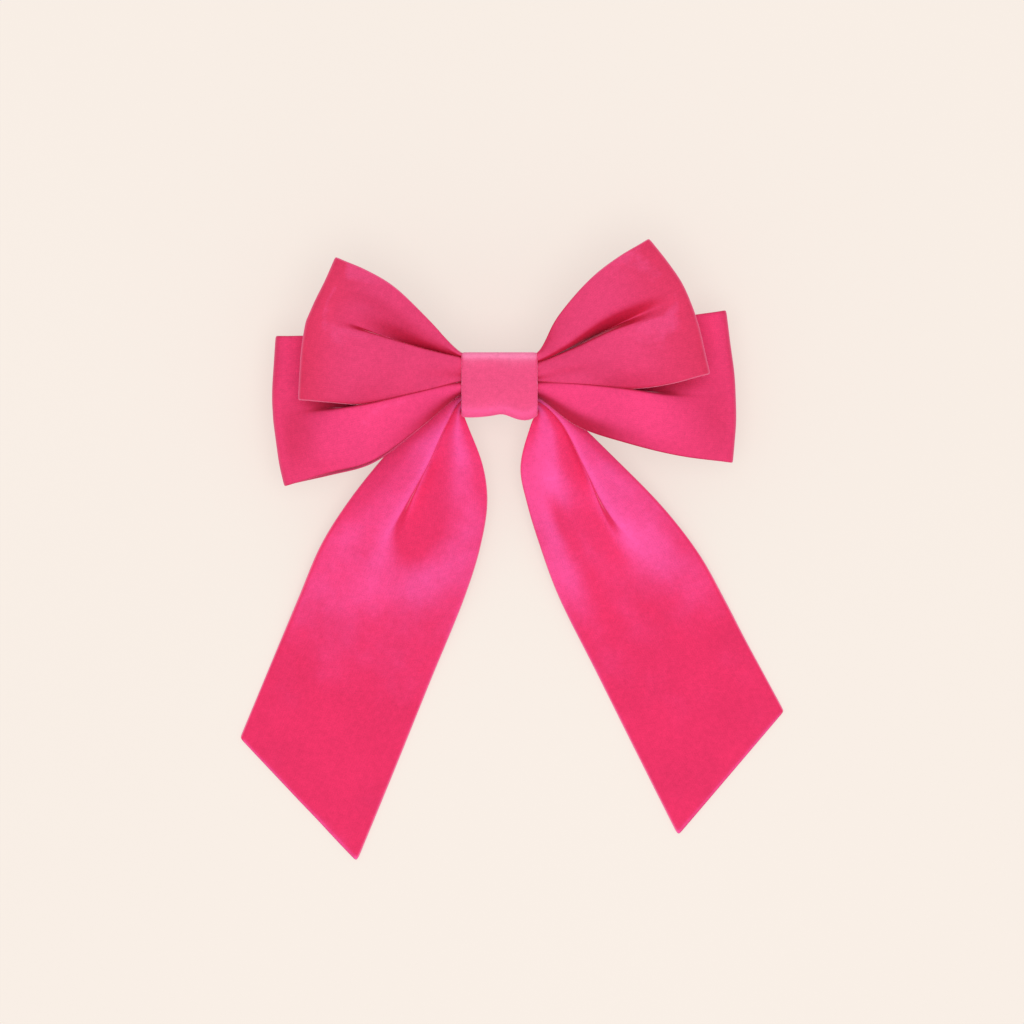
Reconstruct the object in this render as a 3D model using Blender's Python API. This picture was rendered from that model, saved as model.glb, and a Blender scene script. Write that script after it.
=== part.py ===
"""Velvet bow on a French hair barrette, lying face up.

Frame: metres, +Z up towards the face of the bow. The barrette runs along X, the
tails of the bow point to -Y, and z = 0 is the table that the object lies on.
The origin is under the middle of the whole object's box.
"""
import math

import bmesh
import bpy
from mathutils import Vector

MM = 0.001

# Ribbon and bow
BOW_CENTRE = Vector((-0.0040, 0.05375))
RIBBON = 1.2 * MM
GATHERED = 2.0 * MM
GATHER_HALF = 7.4 * MM
GAP = 0.3 * MM
PINCH = 12.6 * MM
PUFF_START = 13.0 * MM
PUFF_END = 35.0 * MM
FOLD_LENGTH = 12.0 * MM
DROOP_START = 42.0 * MM
LOOP_HALF_WIDTH = 24.2 * MM
LEAN_LENGTH = 18.0 * MM
UPPER_TIPS = ((-58.8 * MM, 17.3 * MM), (58.4 * MM, 23.9 * MM))
UPPER_LEANS = (-14.1, 24.1)
UPPER_OPEN = 5.0 * MM
UPPER_DROOP = 2.5 * MM
UPPER_RISE = 6.0 * MM
LOWER_TIPS = ((-71.9 * MM, -9.0 * MM), (75.0 * MM, -1.4 * MM))
LOWER_LEANS = (3.4, 2.3)
LOWER_OPEN = 4.5 * MM
LOWER_DROOP = 6.0 * MM
LOWER_RISE = -1.2 * MM

# Knot
KNOT_WIDTH = 24.7 * MM
KNOT_HALF_HEIGHT = 9.25 * MM
WRAP = 1.0 * MM
WRAP_TOP = 28.4 * MM
WRAP_SHOULDER = 14.8 * MM
WRAP_FOOT_HALF = 5.6 * MM
WRAP_FOOT = 11.5 * MM
WRAP_BEND = 2.0 * MM

# Layers of the gathered middle, each measured at its middle height
TAIL_LEVEL = 16.7 * MM
LOWER_LEVEL = 20.05 * MM
UPPER_LEVEL = 24.65 * MM
THREAD_BOTTOM = 15.25 * MM
THREAD_TOP = 27.35 * MM
THREAD_HALF = 8.2 * MM
THREAD_TURNS = 3
THREAD_PITCH = 0.8 * MM
THREAD_THIN = 0.08 * MM
THREAD_SWELL = 0.17 * MM

# Tails
TAIL_GATHERED = 1.8 * MM
TAIL_THICK = 1.5 * MM
TAIL_DROP = 56.0 * MM
# Each edge is three points of its curved neck, after the start at the knot, and its cut corner
LEFT_INNER = ((-13.9, -16.0), (1.6, -36.0), (-8.2, -60.1), (-45.7, -153.7))
LEFT_OUTER = ((-26.0, 0.0), (-57.2, -51.2), (-64.9, -69.7), (-83.2, -113.9))
RIGHT_INNER = ((13.9, -16.0), (-1.0, -34.0), (15.2, -60.1), (57.2, -145.3))
RIGHT_OUTER = ((22.0, -4.0), (61.0, -48.5), (72.3, -69.7), (91.2, -105.3))
TAIL_START = 12.7
NECK_STEPS = 12
STRAIGHT_STEPS = 5

# Barrette
PLATE = 0.8 * MM
BASE_HALF_WIDTH = 4.0 * MM
BASE_END = 41.0 * MM
BASE_ARC_HALF = 31.0 * MM
BASE_LOW = 9.8 * MM
BASE_RISE = 3.0 * MM
FELT = 0.8 * MM
FELT_HALF = 30.0 * MM
FELT_HALF_WIDTH = 4.0 * MM
PIN_X = -38.0 * MM
PIN_Z = 2.2 * MM
PIN_RADIUS = 0.8 * MM
EAR_RADIUS = 2.2 * MM
EAR_INNER = 3.2 * MM
EAR_FACE_X = -33.0 * MM
EAR_WAIST_Z = 7.2 * MM
CUT_REACH = 6.0 * MM
ARM_HALF_WIDTH = 3.5 * MM
ARM_NECK_HALF = 2.9 * MM
ARM_LOW = 1.4 * MM
ARM_RISE = 0.8 * MM
ARM_FIRST = -34.6 * MM
ARM_LAST = 33.0 * MM
ARM_STEP_START = 39.2 * MM
ARM_STEP_END = 41.2 * MM
ARM_CORNER = 44.6 * MM
ARM_TIP = 45.4 * MM
BARREL_RADIUS = 1.5 * MM
BARREL_HALF = 2.75 * MM
WINDOW_HALF_LENGTH = 2.3 * MM
WINDOW_HALF_WIDTH = 2.3 * MM
BAR = 0.5 * MM
BAR_HALF_WIDTH = 2.5 * MM
BAR_HINGE_X = -34.9 * MM
BAR_END_X = 31.0 * MM
BAR_HINGE_Z = 8.3 * MM
BAR_BOW = 0.55 * MM
LUG_HALF = 0.5 * MM
LUG_LOW = BAR_HINGE_Z + 0.02 * MM
LUG_HIGH = BAR_HINGE_Z + 0.45 * MM
LUG_REACH = 4.4 * MM
SLOT_HALF = 1.1 * MM
CATCH_X = 36.0 * MM
CATCH_PLATE = 0.6 * MM
CATCH_START = 31.9 * MM
CATCH_END = 40.0 * MM
CATCH_HALF_WIDTH = 2.6 * MM
BLOCK_HALF_WIDTH = 0.8 * MM
BLOCK_DEPTH = 2.1 * MM
RIVET_PLACES = (33.4 * MM, 38.6 * MM)
RIVET_RADIUS = 0.6 * MM
RIVET_HEAD_RADIUS = 1.1 * MM
RIVET_HEAD = 0.4 * MM
RIVET_HOLE = 0.8 * MM
PIN_HEAD_RADIUS = 1.3 * MM
PIN_HALF_LENGTH = 4.8 * MM
PIN_HEAD = 0.5 * MM
PIN_CLEARANCE = 0.2 * MM
PRONG_HALF_LENGTH = 1.1 * MM
PRONG_PIVOT_Y = 1.4 * MM
PRONG_PIVOT_Z = 8.2 * MM
PRONG_TOP = 8.6
# Leg, barb at the foot and pad to squeeze, as (distance out, height) in millimetres
PRONG_OUTLINE = ((1.1, PRONG_TOP), (1.1, 0.2), (1.6, 0.2), (2.1, 0.7), (2.1, 1.0), (1.7, 1.0), (1.7, 5.4),
                 (4.3, 5.4), (4.3, 3.9), (4.9, 3.9), (4.9, 7.5), (4.3, 7.5), (4.3, 6.0), (1.7, 6.0),
                 (1.7, PRONG_TOP))
STITCH_X = 27.0 * MM
STITCH_HALF = 2.2 * MM
STITCH_RADIUS = 0.3 * MM
STITCH_HOLE = STITCH_RADIUS + 0.25 * MM
STITCH_BELOW = 0.45 * MM
STITCH_ABOVE = 0.65 * MM
STITCH_BEND = 0.7 * MM
DRILL_TOP = 16.0 * MM


def clear_scene():
    for old in list(bpy.data.objects):
        bpy.data.objects.remove(old, do_unlink=True)


def make_material(name, colour, roughness, metallic=0.0):
    material = bpy.data.materials.new(name)
    material.use_nodes = True
    shader = material.node_tree.nodes["Principled BSDF"]
    shader.inputs["Base Color"].default_value = (*colour, 1.0)
    shader.inputs["Roughness"].default_value = roughness
    shader.inputs["Metallic"].default_value = metallic
    return material


def smooth(value):
    value = min(max(value, 0.0), 1.0)
    return value * value * (3.0 - 2.0 * value)


def mix(low, high, share):
    return low + (high - low) * share


def add_object(name, mesh, material, at=(0.0, 0.0, 0.0), sharp=35.0):
    mesh.materials.append(material)
    mesh.shade_smooth()
    mesh.set_sharp_from_angle(angle=math.radians(sharp))
    piece = bpy.data.objects.new(name, mesh)
    bpy.context.scene.collection.objects.link(piece)
    piece.parent = CENTRE
    piece.location = at
    return piece


def add_bevel(piece, width, segments=1):
    bevel = piece.modifiers.new("soft_edges", "BEVEL")
    bevel.width = width
    bevel.segments = segments
    bevel.limit_method = "ANGLE"
    bevel.angle_limit = math.radians(50.0)
    return piece


def add_boolean(piece, operation, tool):
    cut = piece.modifiers.new(tool.name, "BOOLEAN")
    cut.operation = operation
    cut.object = tool
    tool.hide_render = True
    tool.display_type = "WIRE"


def finish_mesh(name, shape):
    bmesh.ops.recalc_face_normals(shape, faces=shape.faces)
    mesh = bpy.data.meshes.new(name)
    shape.to_mesh(mesh)
    shape.free()
    return mesh


def sheet_mesh(name, upper, lower, ring=False):
    """Closed solid between two grids of points with the same rows and columns."""
    shape = bmesh.new()
    top = [[shape.verts.new(point) for point in row] for row in upper]
    bottom = [[shape.verts.new(point) for point in row] for row in lower]
    rows = len(top)
    columns = len(top[0])
    for here in range(rows if ring else rows - 1):
        there = (here + 1) % rows
        for column in range(columns - 1):
            after = column + 1
            shape.faces.new((top[here][column], top[there][column], top[there][after],
                             top[here][after]))
            shape.faces.new((bottom[here][column], bottom[here][after], bottom[there][after],
                             bottom[there][column]))
        for column in (0, columns - 1):
            shape.faces.new((top[here][column], bottom[here][column], bottom[there][column],
                             top[there][column]))
    if not ring:
        for row in (0, rows - 1):
            for column in range(columns - 1):
                after = column + 1
                shape.faces.new((top[row][column], top[row][after], bottom[row][after],
                                 bottom[row][column]))
    return finish_mesh(name, shape)


def prism_mesh(name, outline, axis, low, high):
    """Solid with a flat outline, pushed from low to high along X, Y or Z."""
    def place(first, second, along):
        if axis == "X":
            return (along, first, second)
        if axis == "Y":
            return (first, along, second)
        return (first, second, along)

    shape = bmesh.new()
    base = [shape.verts.new(place(first, second, low)) for first, second in outline]
    face = shape.faces.new(base)
    pushed = bmesh.ops.extrude_face_region(shape, geom=[face])
    moved = [item for item in pushed["geom"] if isinstance(item, bmesh.types.BMVert)]
    shift = Vector(place(0.0, 0.0, high - low))
    bmesh.ops.translate(shape, verts=moved, vec=shift)
    return finish_mesh(name, shape)


def round_outline(centre, radius, start=0.0, sweep=360.0, count=16):
    steps = count if sweep >= 360.0 else count - 1
    points = []
    for index in range(count):
        angle = math.radians(start + sweep * index / steps)
        points.append((centre[0] + radius * math.cos(angle), centre[1] + radius * math.sin(angle)))
    return points


def box_outline(left, right, low, high):
    return [(left, low), (right, low), (right, high), (left, high)]


def cutter(name, outline, axis, low, high):
    tool = bpy.data.objects.new(name, prism_mesh(name, outline, axis, low, high))
    bpy.context.scene.collection.objects.link(tool)
    tool.parent = CENTRE
    return tool


def rounded_loop(corners, radius, steps=5):
    """Closed path through corners, each one rounded to the radius."""
    points = []
    count = len(corners)
    for index in range(count):
        corner = Vector(corners[index])
        before = (Vector(corners[index - 1]) - corner).normalized()
        after = (Vector(corners[(index + 1) % count]) - corner).normalized()
        half = 0.5 * before.angle(after)
        reach = radius / math.tan(half)
        middle = corner + (before + after).normalized() * radius / math.sin(half)
        start = corner + before * reach - middle
        end = corner + after * reach - middle
        for step in range(steps):
            share = step / (steps - 1)
            swing = start.normalized().slerp(end.normalized(), share) * radius
            points.append(middle + swing)
    return points


# Bow loops

def puff(distance):
    return smooth((distance - PUFF_START) / (PUFF_END - PUFF_START))


def loop_half_width(distance, reach):
    share = smooth((distance - PUFF_START) / (0.72 * (reach - PUFF_START)))
    return mix(GATHER_HALF, LOOP_HALF_WIDTH, share)


def loop_profile(reach, open_half, droop, level, level_change):
    """Distance out and height along one loop, from its front at the pinch to its back."""
    straight = [PINCH + (reach - FOLD_LENGTH - PINCH) * step / 9 for step in range(10)]
    turn = [math.pi * step / 10 for step in range(1, 10)]

    def middle(distance):
        sag = droop * smooth((distance - DROOP_START) / (reach - DROOP_START))
        return level + level_change * puff(distance) - sag

    pinched = 0.5 * (GATHERED + GAP)
    points = []
    for distance in straight:
        points.append((distance, middle(distance) + mix(pinched, open_half, puff(distance))))
    for angle in turn:
        distance = reach - FOLD_LENGTH + FOLD_LENGTH * math.sin(angle)
        points.append((distance, middle(distance) + open_half * math.cos(angle)))
    for distance in reversed(straight):
        points.append((distance, middle(distance) - mix(pinched, open_half, puff(distance))))
    return points


def loop_rows(side, tip, lean, profile):
    """Rows of middle, across and half width for one loop; lean turns its fold edge."""
    start = Vector((side * PINCH, 0.0))
    way = Vector(tip) - start
    reach = PINCH + way.length
    way.normalize()
    rows = []
    for distance, height in profile:
        middle = start + way * (distance - PINCH)
        turn = math.radians(lean) * smooth((distance - PINCH) / LEAN_LENGTH)
        across = Vector((-math.sin(turn), math.cos(turn), 0.0))
        half = loop_half_width(distance, reach)
        thick = mix(GATHERED, RIBBON, puff(distance))
        rows.append((Vector((middle.x, middle.y, height)), across, half, thick))
    return rows


def band_mesh(name, rows, ring, columns=5):
    """Ribbon through rows of (middle, across, half width, thickness)."""
    upper = []
    lower = []
    count = len(rows)
    for index, (middle, across, half, thick) in enumerate(rows):
        if ring:
            along = rows[(index + 1) % count][0] - rows[index - 1][0]
        else:
            along = rows[min(index + 1, count - 1)][0] - rows[max(index - 1, 0)][0]
        normal = along.cross(across).normalized()
        top_row = []
        bottom_row = []
        for column in range(columns):
            spot = 2.0 * column / (columns - 1) - 1.0
            point = middle + across * half * spot
            top_row.append(point + normal * thick / 2.0)
            bottom_row.append(point - normal * thick / 2.0)
        upper.append(top_row)
        lower.append(bottom_row)
    return sheet_mesh(name, upper, lower, ring)


def make_bow(name, tips, leans, open_half, droop, level, level_change, material):
    """Ring of ribbon pinched in the middle, so that it stands as two loops."""
    rows = []
    for side, tip, lean in ((1, tips[1], leans[1]), (-1, tips[0], leans[0])):
        reach = PINCH + (Vector(tip) - Vector((side * PINCH, 0.0))).length
        profile = loop_profile(reach, open_half, droop, level, level_change)
        if side < 0:
            profile = list(reversed(profile))
        rows += loop_rows(side, tip, lean, profile)
    return add_object(name, band_mesh(name, rows, ring=True), material)


def make_bows(velvet_upper, velvet_lower):
    make_bow("upper_bow_ribbon", UPPER_TIPS, UPPER_LEANS, UPPER_OPEN, UPPER_DROOP, UPPER_LEVEL, UPPER_RISE,
             velvet_upper)
    make_bow("lower_bow_ribbon", LOWER_TIPS, LOWER_LEANS, LOWER_OPEN, LOWER_DROOP, LOWER_LEVEL, LOWER_RISE,
             velvet_lower)


# Tails

def bezier(points, share):
    first, second, third, fourth = (Vector(point) for point in points)
    rest = 1.0 - share
    return (first * rest ** 3 + second * 3.0 * rest ** 2 * share
            + third * 3.0 * rest * share ** 2 + fourth * share ** 3)


def tail_edge(start, edge):
    """One edge of a tail: a curved neck, then a straight run to the corner of its cut end."""
    scaled = [Vector(point) * MM for point in (start, *edge)]
    points = [bezier(scaled[:4], step / NECK_STEPS) for step in range(NECK_STEPS + 1)]
    neck_end = points[-1]
    run = scaled[4] - neck_end
    for step in range(1, STRAIGHT_STEPS + 1):
        points.append(neck_end + run * step / STRAIGHT_STEPS)
    return points


def tail_rows(inner, outer):
    rows = []
    travelled = 0.0
    before = None
    for near, far in zip(inner, outer):
        middle = (near + far) / 2.0
        if before is not None:
            travelled += (middle - before).length
        before = middle
        share = min(travelled / TAIL_DROP, 1.0)
        fall = 0.4 * share + 0.6 * smooth(share)
        thick = mix(TAIL_GATHERED, TAIL_THICK, smooth(share))
        height = mix(TAIL_LEVEL, TAIL_THICK / 2.0, fall)
        across = far - near
        rows.append((Vector((middle.x, middle.y, height)), Vector((across.x, across.y, 0.0)).normalized(),
                     across.length / 2.0, thick))
    return rows


def make_tails(material):
    """One strip that crosses behind the knot, with both of its ends hanging as tails."""
    gather = GATHER_HALF / MM
    left = tail_rows(tail_edge((-TAIL_START, -gather), LEFT_INNER),
                     tail_edge((-TAIL_START, gather), LEFT_OUTER))
    right = tail_rows(tail_edge((TAIL_START, -gather), RIGHT_INNER),
                      tail_edge((TAIL_START, gather), RIGHT_OUTER))
    rows = list(reversed(left)) + right
    mesh = band_mesh("tail_ribbon", rows, ring=False)
    return add_object("tail_ribbon", mesh, material)


# Knot

def ring_rows(path, width, thick):
    across = Vector((1.0, 0.0, 0.0))
    return [(Vector((0.0, point.x, point.y)), across, width / 2.0, thick) for point in path]


def make_knot_wrap(material):
    path = rounded_loop(((KNOT_HALF_HEIGHT, WRAP_TOP), (-KNOT_HALF_HEIGHT, WRAP_TOP),
                         (-KNOT_HALF_HEIGHT, WRAP_SHOULDER), (-WRAP_FOOT_HALF, WRAP_FOOT),
                         (WRAP_FOOT_HALF, WRAP_FOOT), (KNOT_HALF_HEIGHT, WRAP_SHOULDER)), WRAP_BEND)
    mesh = band_mesh("knot_wrap", ring_rows(path, KNOT_WIDTH, WRAP), ring=True, columns=2)
    return add_object("knot_wrap", mesh, material)


def make_gather_thread(material):
    """Turns of thread side by side, wound tight round the gathered strips."""
    path = rounded_loop(((THREAD_HALF, THREAD_TOP), (-THREAD_HALF, THREAD_TOP),
                         (-THREAD_HALF, THREAD_BOTTOM), (THREAD_HALF, THREAD_BOTTOM)), 1.2 * MM)
    columns = 4 * THREAD_TURNS + 1
    upper = []
    lower = []
    rows = ring_rows(path, THREAD_PITCH * THREAD_TURNS, 0.0)
    for index, (middle, across, half, _) in enumerate(rows):
        along = rows[(index + 1) % len(rows)][0] - rows[index - 1][0]
        normal = along.cross(across).normalized()
        outer = []
        inner = []
        for column in range(columns):
            share = column / (columns - 1)
            swell = THREAD_THIN + THREAD_SWELL * abs(math.sin(math.pi * THREAD_TURNS * share))
            point = middle + across * half * (2.0 * share - 1.0)
            outer.append(point + normal * swell)
            inner.append(point - normal * swell)
        upper.append(outer)
        lower.append(inner)
    mesh = sheet_mesh("gather_thread", upper, lower, ring=True)
    return add_object("gather_thread", mesh, material, sharp=80.0)


# Barrette

def base_height(x):
    """Height of the base plate's underside."""
    radius = (BASE_ARC_HALF ** 2 + BASE_RISE ** 2) / (2.0 * BASE_RISE)
    inside = min(abs(x), BASE_ARC_HALF)
    return BASE_LOW + BASE_RISE - (radius - math.sqrt(radius ** 2 - inside ** 2))


def strip_mesh(name, stations, thick):
    """Flat metal strip through stations of (x, underside height, half width)."""
    upper = []
    lower = []
    for x, low, half in stations:
        lower.append([(x, -half, low), (x, half, low)])
        upper.append([(x, -half, low + thick), (x, half, low + thick)])
    return sheet_mesh(name, upper, lower)


def spread(start, end, count):
    return [start + (end - start) * step / (count - 1) for step in range(count)]


def drill(piece, name, x, y, low, high, radius):
    add_boolean(piece, "DIFFERENCE", cutter(name, round_outline((x, y), radius, count=12), "Z", low, high))


def drill_stitch_holes(piece, name):
    for side in (-1, 1):
        for y in (-STITCH_HALF, STITCH_HALF):
            drill(piece, name, side * STITCH_X, y, BASE_LOW - 1.0 * MM, DRILL_TOP, STITCH_HOLE)


def make_base_plate(steel):
    places = [-BASE_END] + spread(-BASE_ARC_HALF, BASE_ARC_HALF, 17) + [BASE_END]
    stations = [(x, base_height(x), BASE_HALF_WIDTH) for x in places]
    base = add_object("base_plate", strip_mesh("base_plate", stations, PLATE), steel)
    ear_top = BASE_LOW + 0.5 * PLATE
    ear = [(-BASE_END, ear_top), (EAR_FACE_X, ear_top), (EAR_FACE_X, EAR_WAIST_Z)]
    ear += round_outline((PIN_X, PIN_Z), EAR_RADIUS, start=0.0, sweep=-180.0, count=11)
    ear += [(-BASE_END, EAR_WAIST_Z)]
    for name, low in (("front_ear", -BASE_HALF_WIDTH), ("rear_ear", EAR_INNER)):
        add_boolean(base, "UNION", cutter(name, ear, "Y", low, low + PLATE))
    pin_hole = round_outline((PIN_X, PIN_Z), PIN_RADIUS + PIN_CLEARANCE)
    add_boolean(base, "DIFFERENCE", cutter("ear_pin_hole", pin_hole, "Y", -CUT_REACH, CUT_REACH))
    slot_low = BAR_HINGE_Z - GAP
    slot_high = BAR_HINGE_Z + BAR + GAP
    slot = box_outline(BAR_HINGE_X - SLOT_HALF, BAR_HINGE_X + SLOT_HALF, slot_low, slot_high)
    add_boolean(base, "DIFFERENCE", cutter("ear_bar_slot", slot, "Y", -CUT_REACH, CUT_REACH))
    drill_stitch_holes(base, "base_stitch_hole")
    for x in RIVET_PLACES:
        drill(base, "base_rivet_hole", x, 0.0, BASE_LOW - 1.0 * MM, DRILL_TOP, RIVET_HOLE)
    return base


def make_felt(material):
    places = spread(-FELT_HALF, FELT_HALF, 13)
    stations = [(x, base_height(x) + PLATE + GAP, FELT_HALF_WIDTH) for x in places]
    felt = add_object("backing_felt", strip_mesh("backing_felt", stations, FELT), material)
    drill_stitch_holes(felt, "felt_stitch_hole")
    return felt


def make_clasp_arm(steel):
    """The strip that closes under the hair, with its origin on the hinge pin."""
    half_span = (ARM_LAST - ARM_FIRST) / 2.0
    centre = (ARM_LAST + ARM_FIRST) / 2.0
    stations = [(PIN_X + 1.2 * MM, ARM_LOW, ARM_NECK_HALF), (ARM_FIRST - 0.4 * MM, ARM_LOW, ARM_NECK_HALF)]
    for x in spread(ARM_FIRST, ARM_LAST, 13):
        rise = ARM_RISE * (1.0 - ((x - centre) / half_span) ** 2)
        stations.append((x, ARM_LOW + rise, ARM_HALF_WIDTH))
    stations += [(ARM_STEP_START, ARM_LOW, ARM_HALF_WIDTH), (ARM_STEP_END, 0.0, ARM_HALF_WIDTH),
                 (ARM_CORNER, 0.0, ARM_HALF_WIDTH), (ARM_TIP, 0.0, ARM_HALF_WIDTH - 0.9 * MM)]
    stations = [(x - PIN_X, low - PIN_Z, half) for x, low, half in stations]
    mesh = strip_mesh("clasp_arm", stations, PLATE)
    arm = add_object("clasp_arm", mesh, steel, at=(PIN_X, 0.0, PIN_Z))
    roll = round_outline((PIN_X, PIN_Z), BARREL_RADIUS)
    add_boolean(arm, "UNION", cutter("arm_barrel", roll, "Y", -BARREL_HALF, BARREL_HALF))
    hole = round_outline((PIN_X, PIN_Z), PIN_RADIUS + PIN_CLEARANCE)
    add_boolean(arm, "DIFFERENCE", cutter("arm_pin_hole", hole, "Y", -CUT_REACH, CUT_REACH))
    window = box_outline(CATCH_X - WINDOW_HALF_LENGTH, CATCH_X + WINDOW_HALF_LENGTH,
                         -WINDOW_HALF_WIDTH, WINDOW_HALF_WIDTH)
    add_boolean(arm, "DIFFERENCE", cutter("arm_window", window, "Z", 0.4 * MM, 4.0 * MM))
    return arm


def make_tension_bar(steel):
    """Thin sprung strip that bows towards the arm; its lugs sit in the ears' slots."""
    stations = []
    for x in spread(BAR_HINGE_X - 0.6 * MM, BAR_END_X, 14):
        share = (x - BAR_HINGE_X) / (BAR_END_X - BAR_HINGE_X)
        bow = BAR_BOW * math.sin(math.pi * min(max(share, 0.0), 1.0))
        low = BAR_HINGE_Z - 0.4 * MM * share - bow
        stations.append((x - BAR_HINGE_X, low - BAR_HINGE_Z, BAR_HALF_WIDTH))
    bar = add_object("tension_bar", strip_mesh("tension_bar", stations, BAR), steel,
                     at=(BAR_HINGE_X, 0.0, BAR_HINGE_Z))
    lug = box_outline(BAR_HINGE_X - LUG_HALF, BAR_HINGE_X + LUG_HALF, LUG_LOW, LUG_HIGH)
    add_boolean(bar, "UNION", cutter("bar_lugs", lug, "Y", -LUG_REACH, LUG_REACH))
    return bar


def headed_pin_mesh(name, radius, head_radius, half_length, head):
    """Turned pin with a head at each end, standing along Z about its middle."""
    profile = [(0.0, -half_length), (head_radius, -half_length), (head_radius, -half_length + head),
               (radius, -half_length + head), (radius, half_length - head), (head_radius, half_length - head),
               (head_radius, half_length), (0.0, half_length)]
    shape = bmesh.new()
    verts = [shape.verts.new((across, 0.0, height)) for across, height in profile]
    edges = [shape.edges.new(pair) for pair in zip(verts, verts[1:])]
    bmesh.ops.spin(shape, geom=verts + edges, cent=(0, 0, 0), axis=(0, 0, 1), angle=math.tau, steps=16,
                   use_duplicate=False)
    bmesh.ops.remove_doubles(shape, verts=shape.verts, dist=0.00001)
    return finish_mesh(name, shape)


def make_hinge_pin(steel):
    mesh = headed_pin_mesh("hinge_pin", PIN_RADIUS, PIN_HEAD_RADIUS, PIN_HALF_LENGTH, PIN_HEAD)
    pin = add_object("hinge_pin", mesh, steel, at=(PIN_X, 0.0, PIN_Z))
    pin.rotation_euler = (math.radians(90.0), 0.0, 0.0)
    return pin


def make_catch(steel):
    """Plate under the base's end, with the block that the two prongs spring from."""
    top = BASE_LOW - GAP
    low = top - CATCH_PLATE
    plate = box_outline(CATCH_START, CATCH_END, -CATCH_HALF_WIDTH, CATCH_HALF_WIDTH)
    catch = add_object("catch_plate", prism_mesh("catch_plate", plate, "Z", low, top), steel)
    block = box_outline(CATCH_X - PRONG_HALF_LENGTH, CATCH_X + PRONG_HALF_LENGTH,
                        -BLOCK_HALF_WIDTH, BLOCK_HALF_WIDTH)
    add_boolean(catch, "UNION", cutter("catch_block", block, "Z", low - BLOCK_DEPTH, low + 0.3 * MM))
    for x in RIVET_PLACES:
        drill(catch, "catch_rivet_hole", x, 0.0, low - 1.0 * MM, top + 1.0 * MM, RIVET_HOLE)
    middle = (BASE_LOW + PLATE + low) / 2.0
    half_length = (BASE_LOW + PLATE - low) / 2.0 + GAP + RIVET_HEAD
    names = ("inner_catch_rivet", "outer_catch_rivet")
    for name, x in zip(names, RIVET_PLACES):
        mesh = headed_pin_mesh(name, RIVET_RADIUS, RIVET_HEAD_RADIUS, half_length, RIVET_HEAD)
        add_object(name, mesh, steel, at=(x, 0.0, middle))
    return catch


def make_prongs(steel):
    """Barbed legs that pass through the arm's window, each with a pad to squeeze."""
    for name, side in (("front_prong", -1), ("rear_prong", 1)):
        local = [(side * (y * MM - PRONG_PIVOT_Y), z * MM - PRONG_PIVOT_Z) for y, z in PRONG_OUTLINE]
        mesh = prism_mesh(name, local, "X", -PRONG_HALF_LENGTH, PRONG_HALF_LENGTH)
        prong = add_object(name, mesh, steel, at=(CATCH_X, side * PRONG_PIVOT_Y, PRONG_PIVOT_Z))
        add_bevel(prong, 0.08 * MM)


def make_stitches(material):
    """Loops of thread through the base's end holes and over the felt."""
    for name, side in (("left_stitch", -1), ("right_stitch", 1)):
        low = base_height(STITCH_X) - STITCH_BELOW
        high = base_height(STITCH_X) + PLATE + GAP + FELT + STITCH_ABOVE
        path = rounded_loop(box_outline(-STITCH_HALF, STITCH_HALF, low, high), STITCH_BEND)
        curve = bpy.data.curves.new(name, "CURVE")
        curve.dimensions = "3D"
        curve.bevel_depth = STITCH_RADIUS
        curve.bevel_resolution = 2
        spline = curve.splines.new("POLY")
        spline.points.add(len(path) - 1)
        spline.use_cyclic_u = True
        for point, place in zip(spline.points, path):
            point.co = (0.0, place.x, place.y, 1.0)
        curve.materials.append(material)
        stitch = bpy.data.objects.new(name, curve)
        bpy.context.scene.collection.objects.link(stitch)
        stitch.parent = CENTRE
        stitch.location = (side * STITCH_X, 0.0, 0.0)


clear_scene()
CENTRE = bpy.data.objects.new("bow_centre", None)
bpy.context.scene.collection.objects.link(CENTRE)
CENTRE.location = (BOW_CENTRE.x, BOW_CENTRE.y, 0.0)

velvet_front = make_material("velvet_front", (0.79, 0.05, 0.16), 0.85)
velvet_back = make_material("velvet_back", (0.86, 0.06, 0.21), 0.85)
velvet_tails = make_material("velvet_tails", (0.83, 0.04, 0.17), 0.85)
velvet_knot = make_material("velvet_knot", (0.87, 0.10, 0.26), 0.8)
pink_thread = make_material("pink_thread", (0.75, 0.10, 0.25), 0.7)
pink_felt = make_material("pink_felt", (0.72, 0.08, 0.22), 0.95)
plated_steel = make_material("plated_steel", (0.72, 0.72, 0.73), 0.28, 1.0)
spring_steel = make_material("spring_steel", (0.62, 0.62, 0.64), 0.35, 1.0)

make_bows(velvet_front, velvet_back)
make_tails(velvet_tails)
make_knot_wrap(velvet_knot)
make_gather_thread(pink_thread)
make_felt(pink_felt)
make_stitches(pink_thread)
make_base_plate(plated_steel)
make_clasp_arm(plated_steel)
make_tension_bar(spring_steel)
make_hinge_pin(plated_steel)
make_catch(plated_steel)
make_prongs(spring_steel)
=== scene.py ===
"""Looks of the velvet bow barrette: lofted velvet ribbons and knot, felt, thread and plated steel."""
import math

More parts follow.
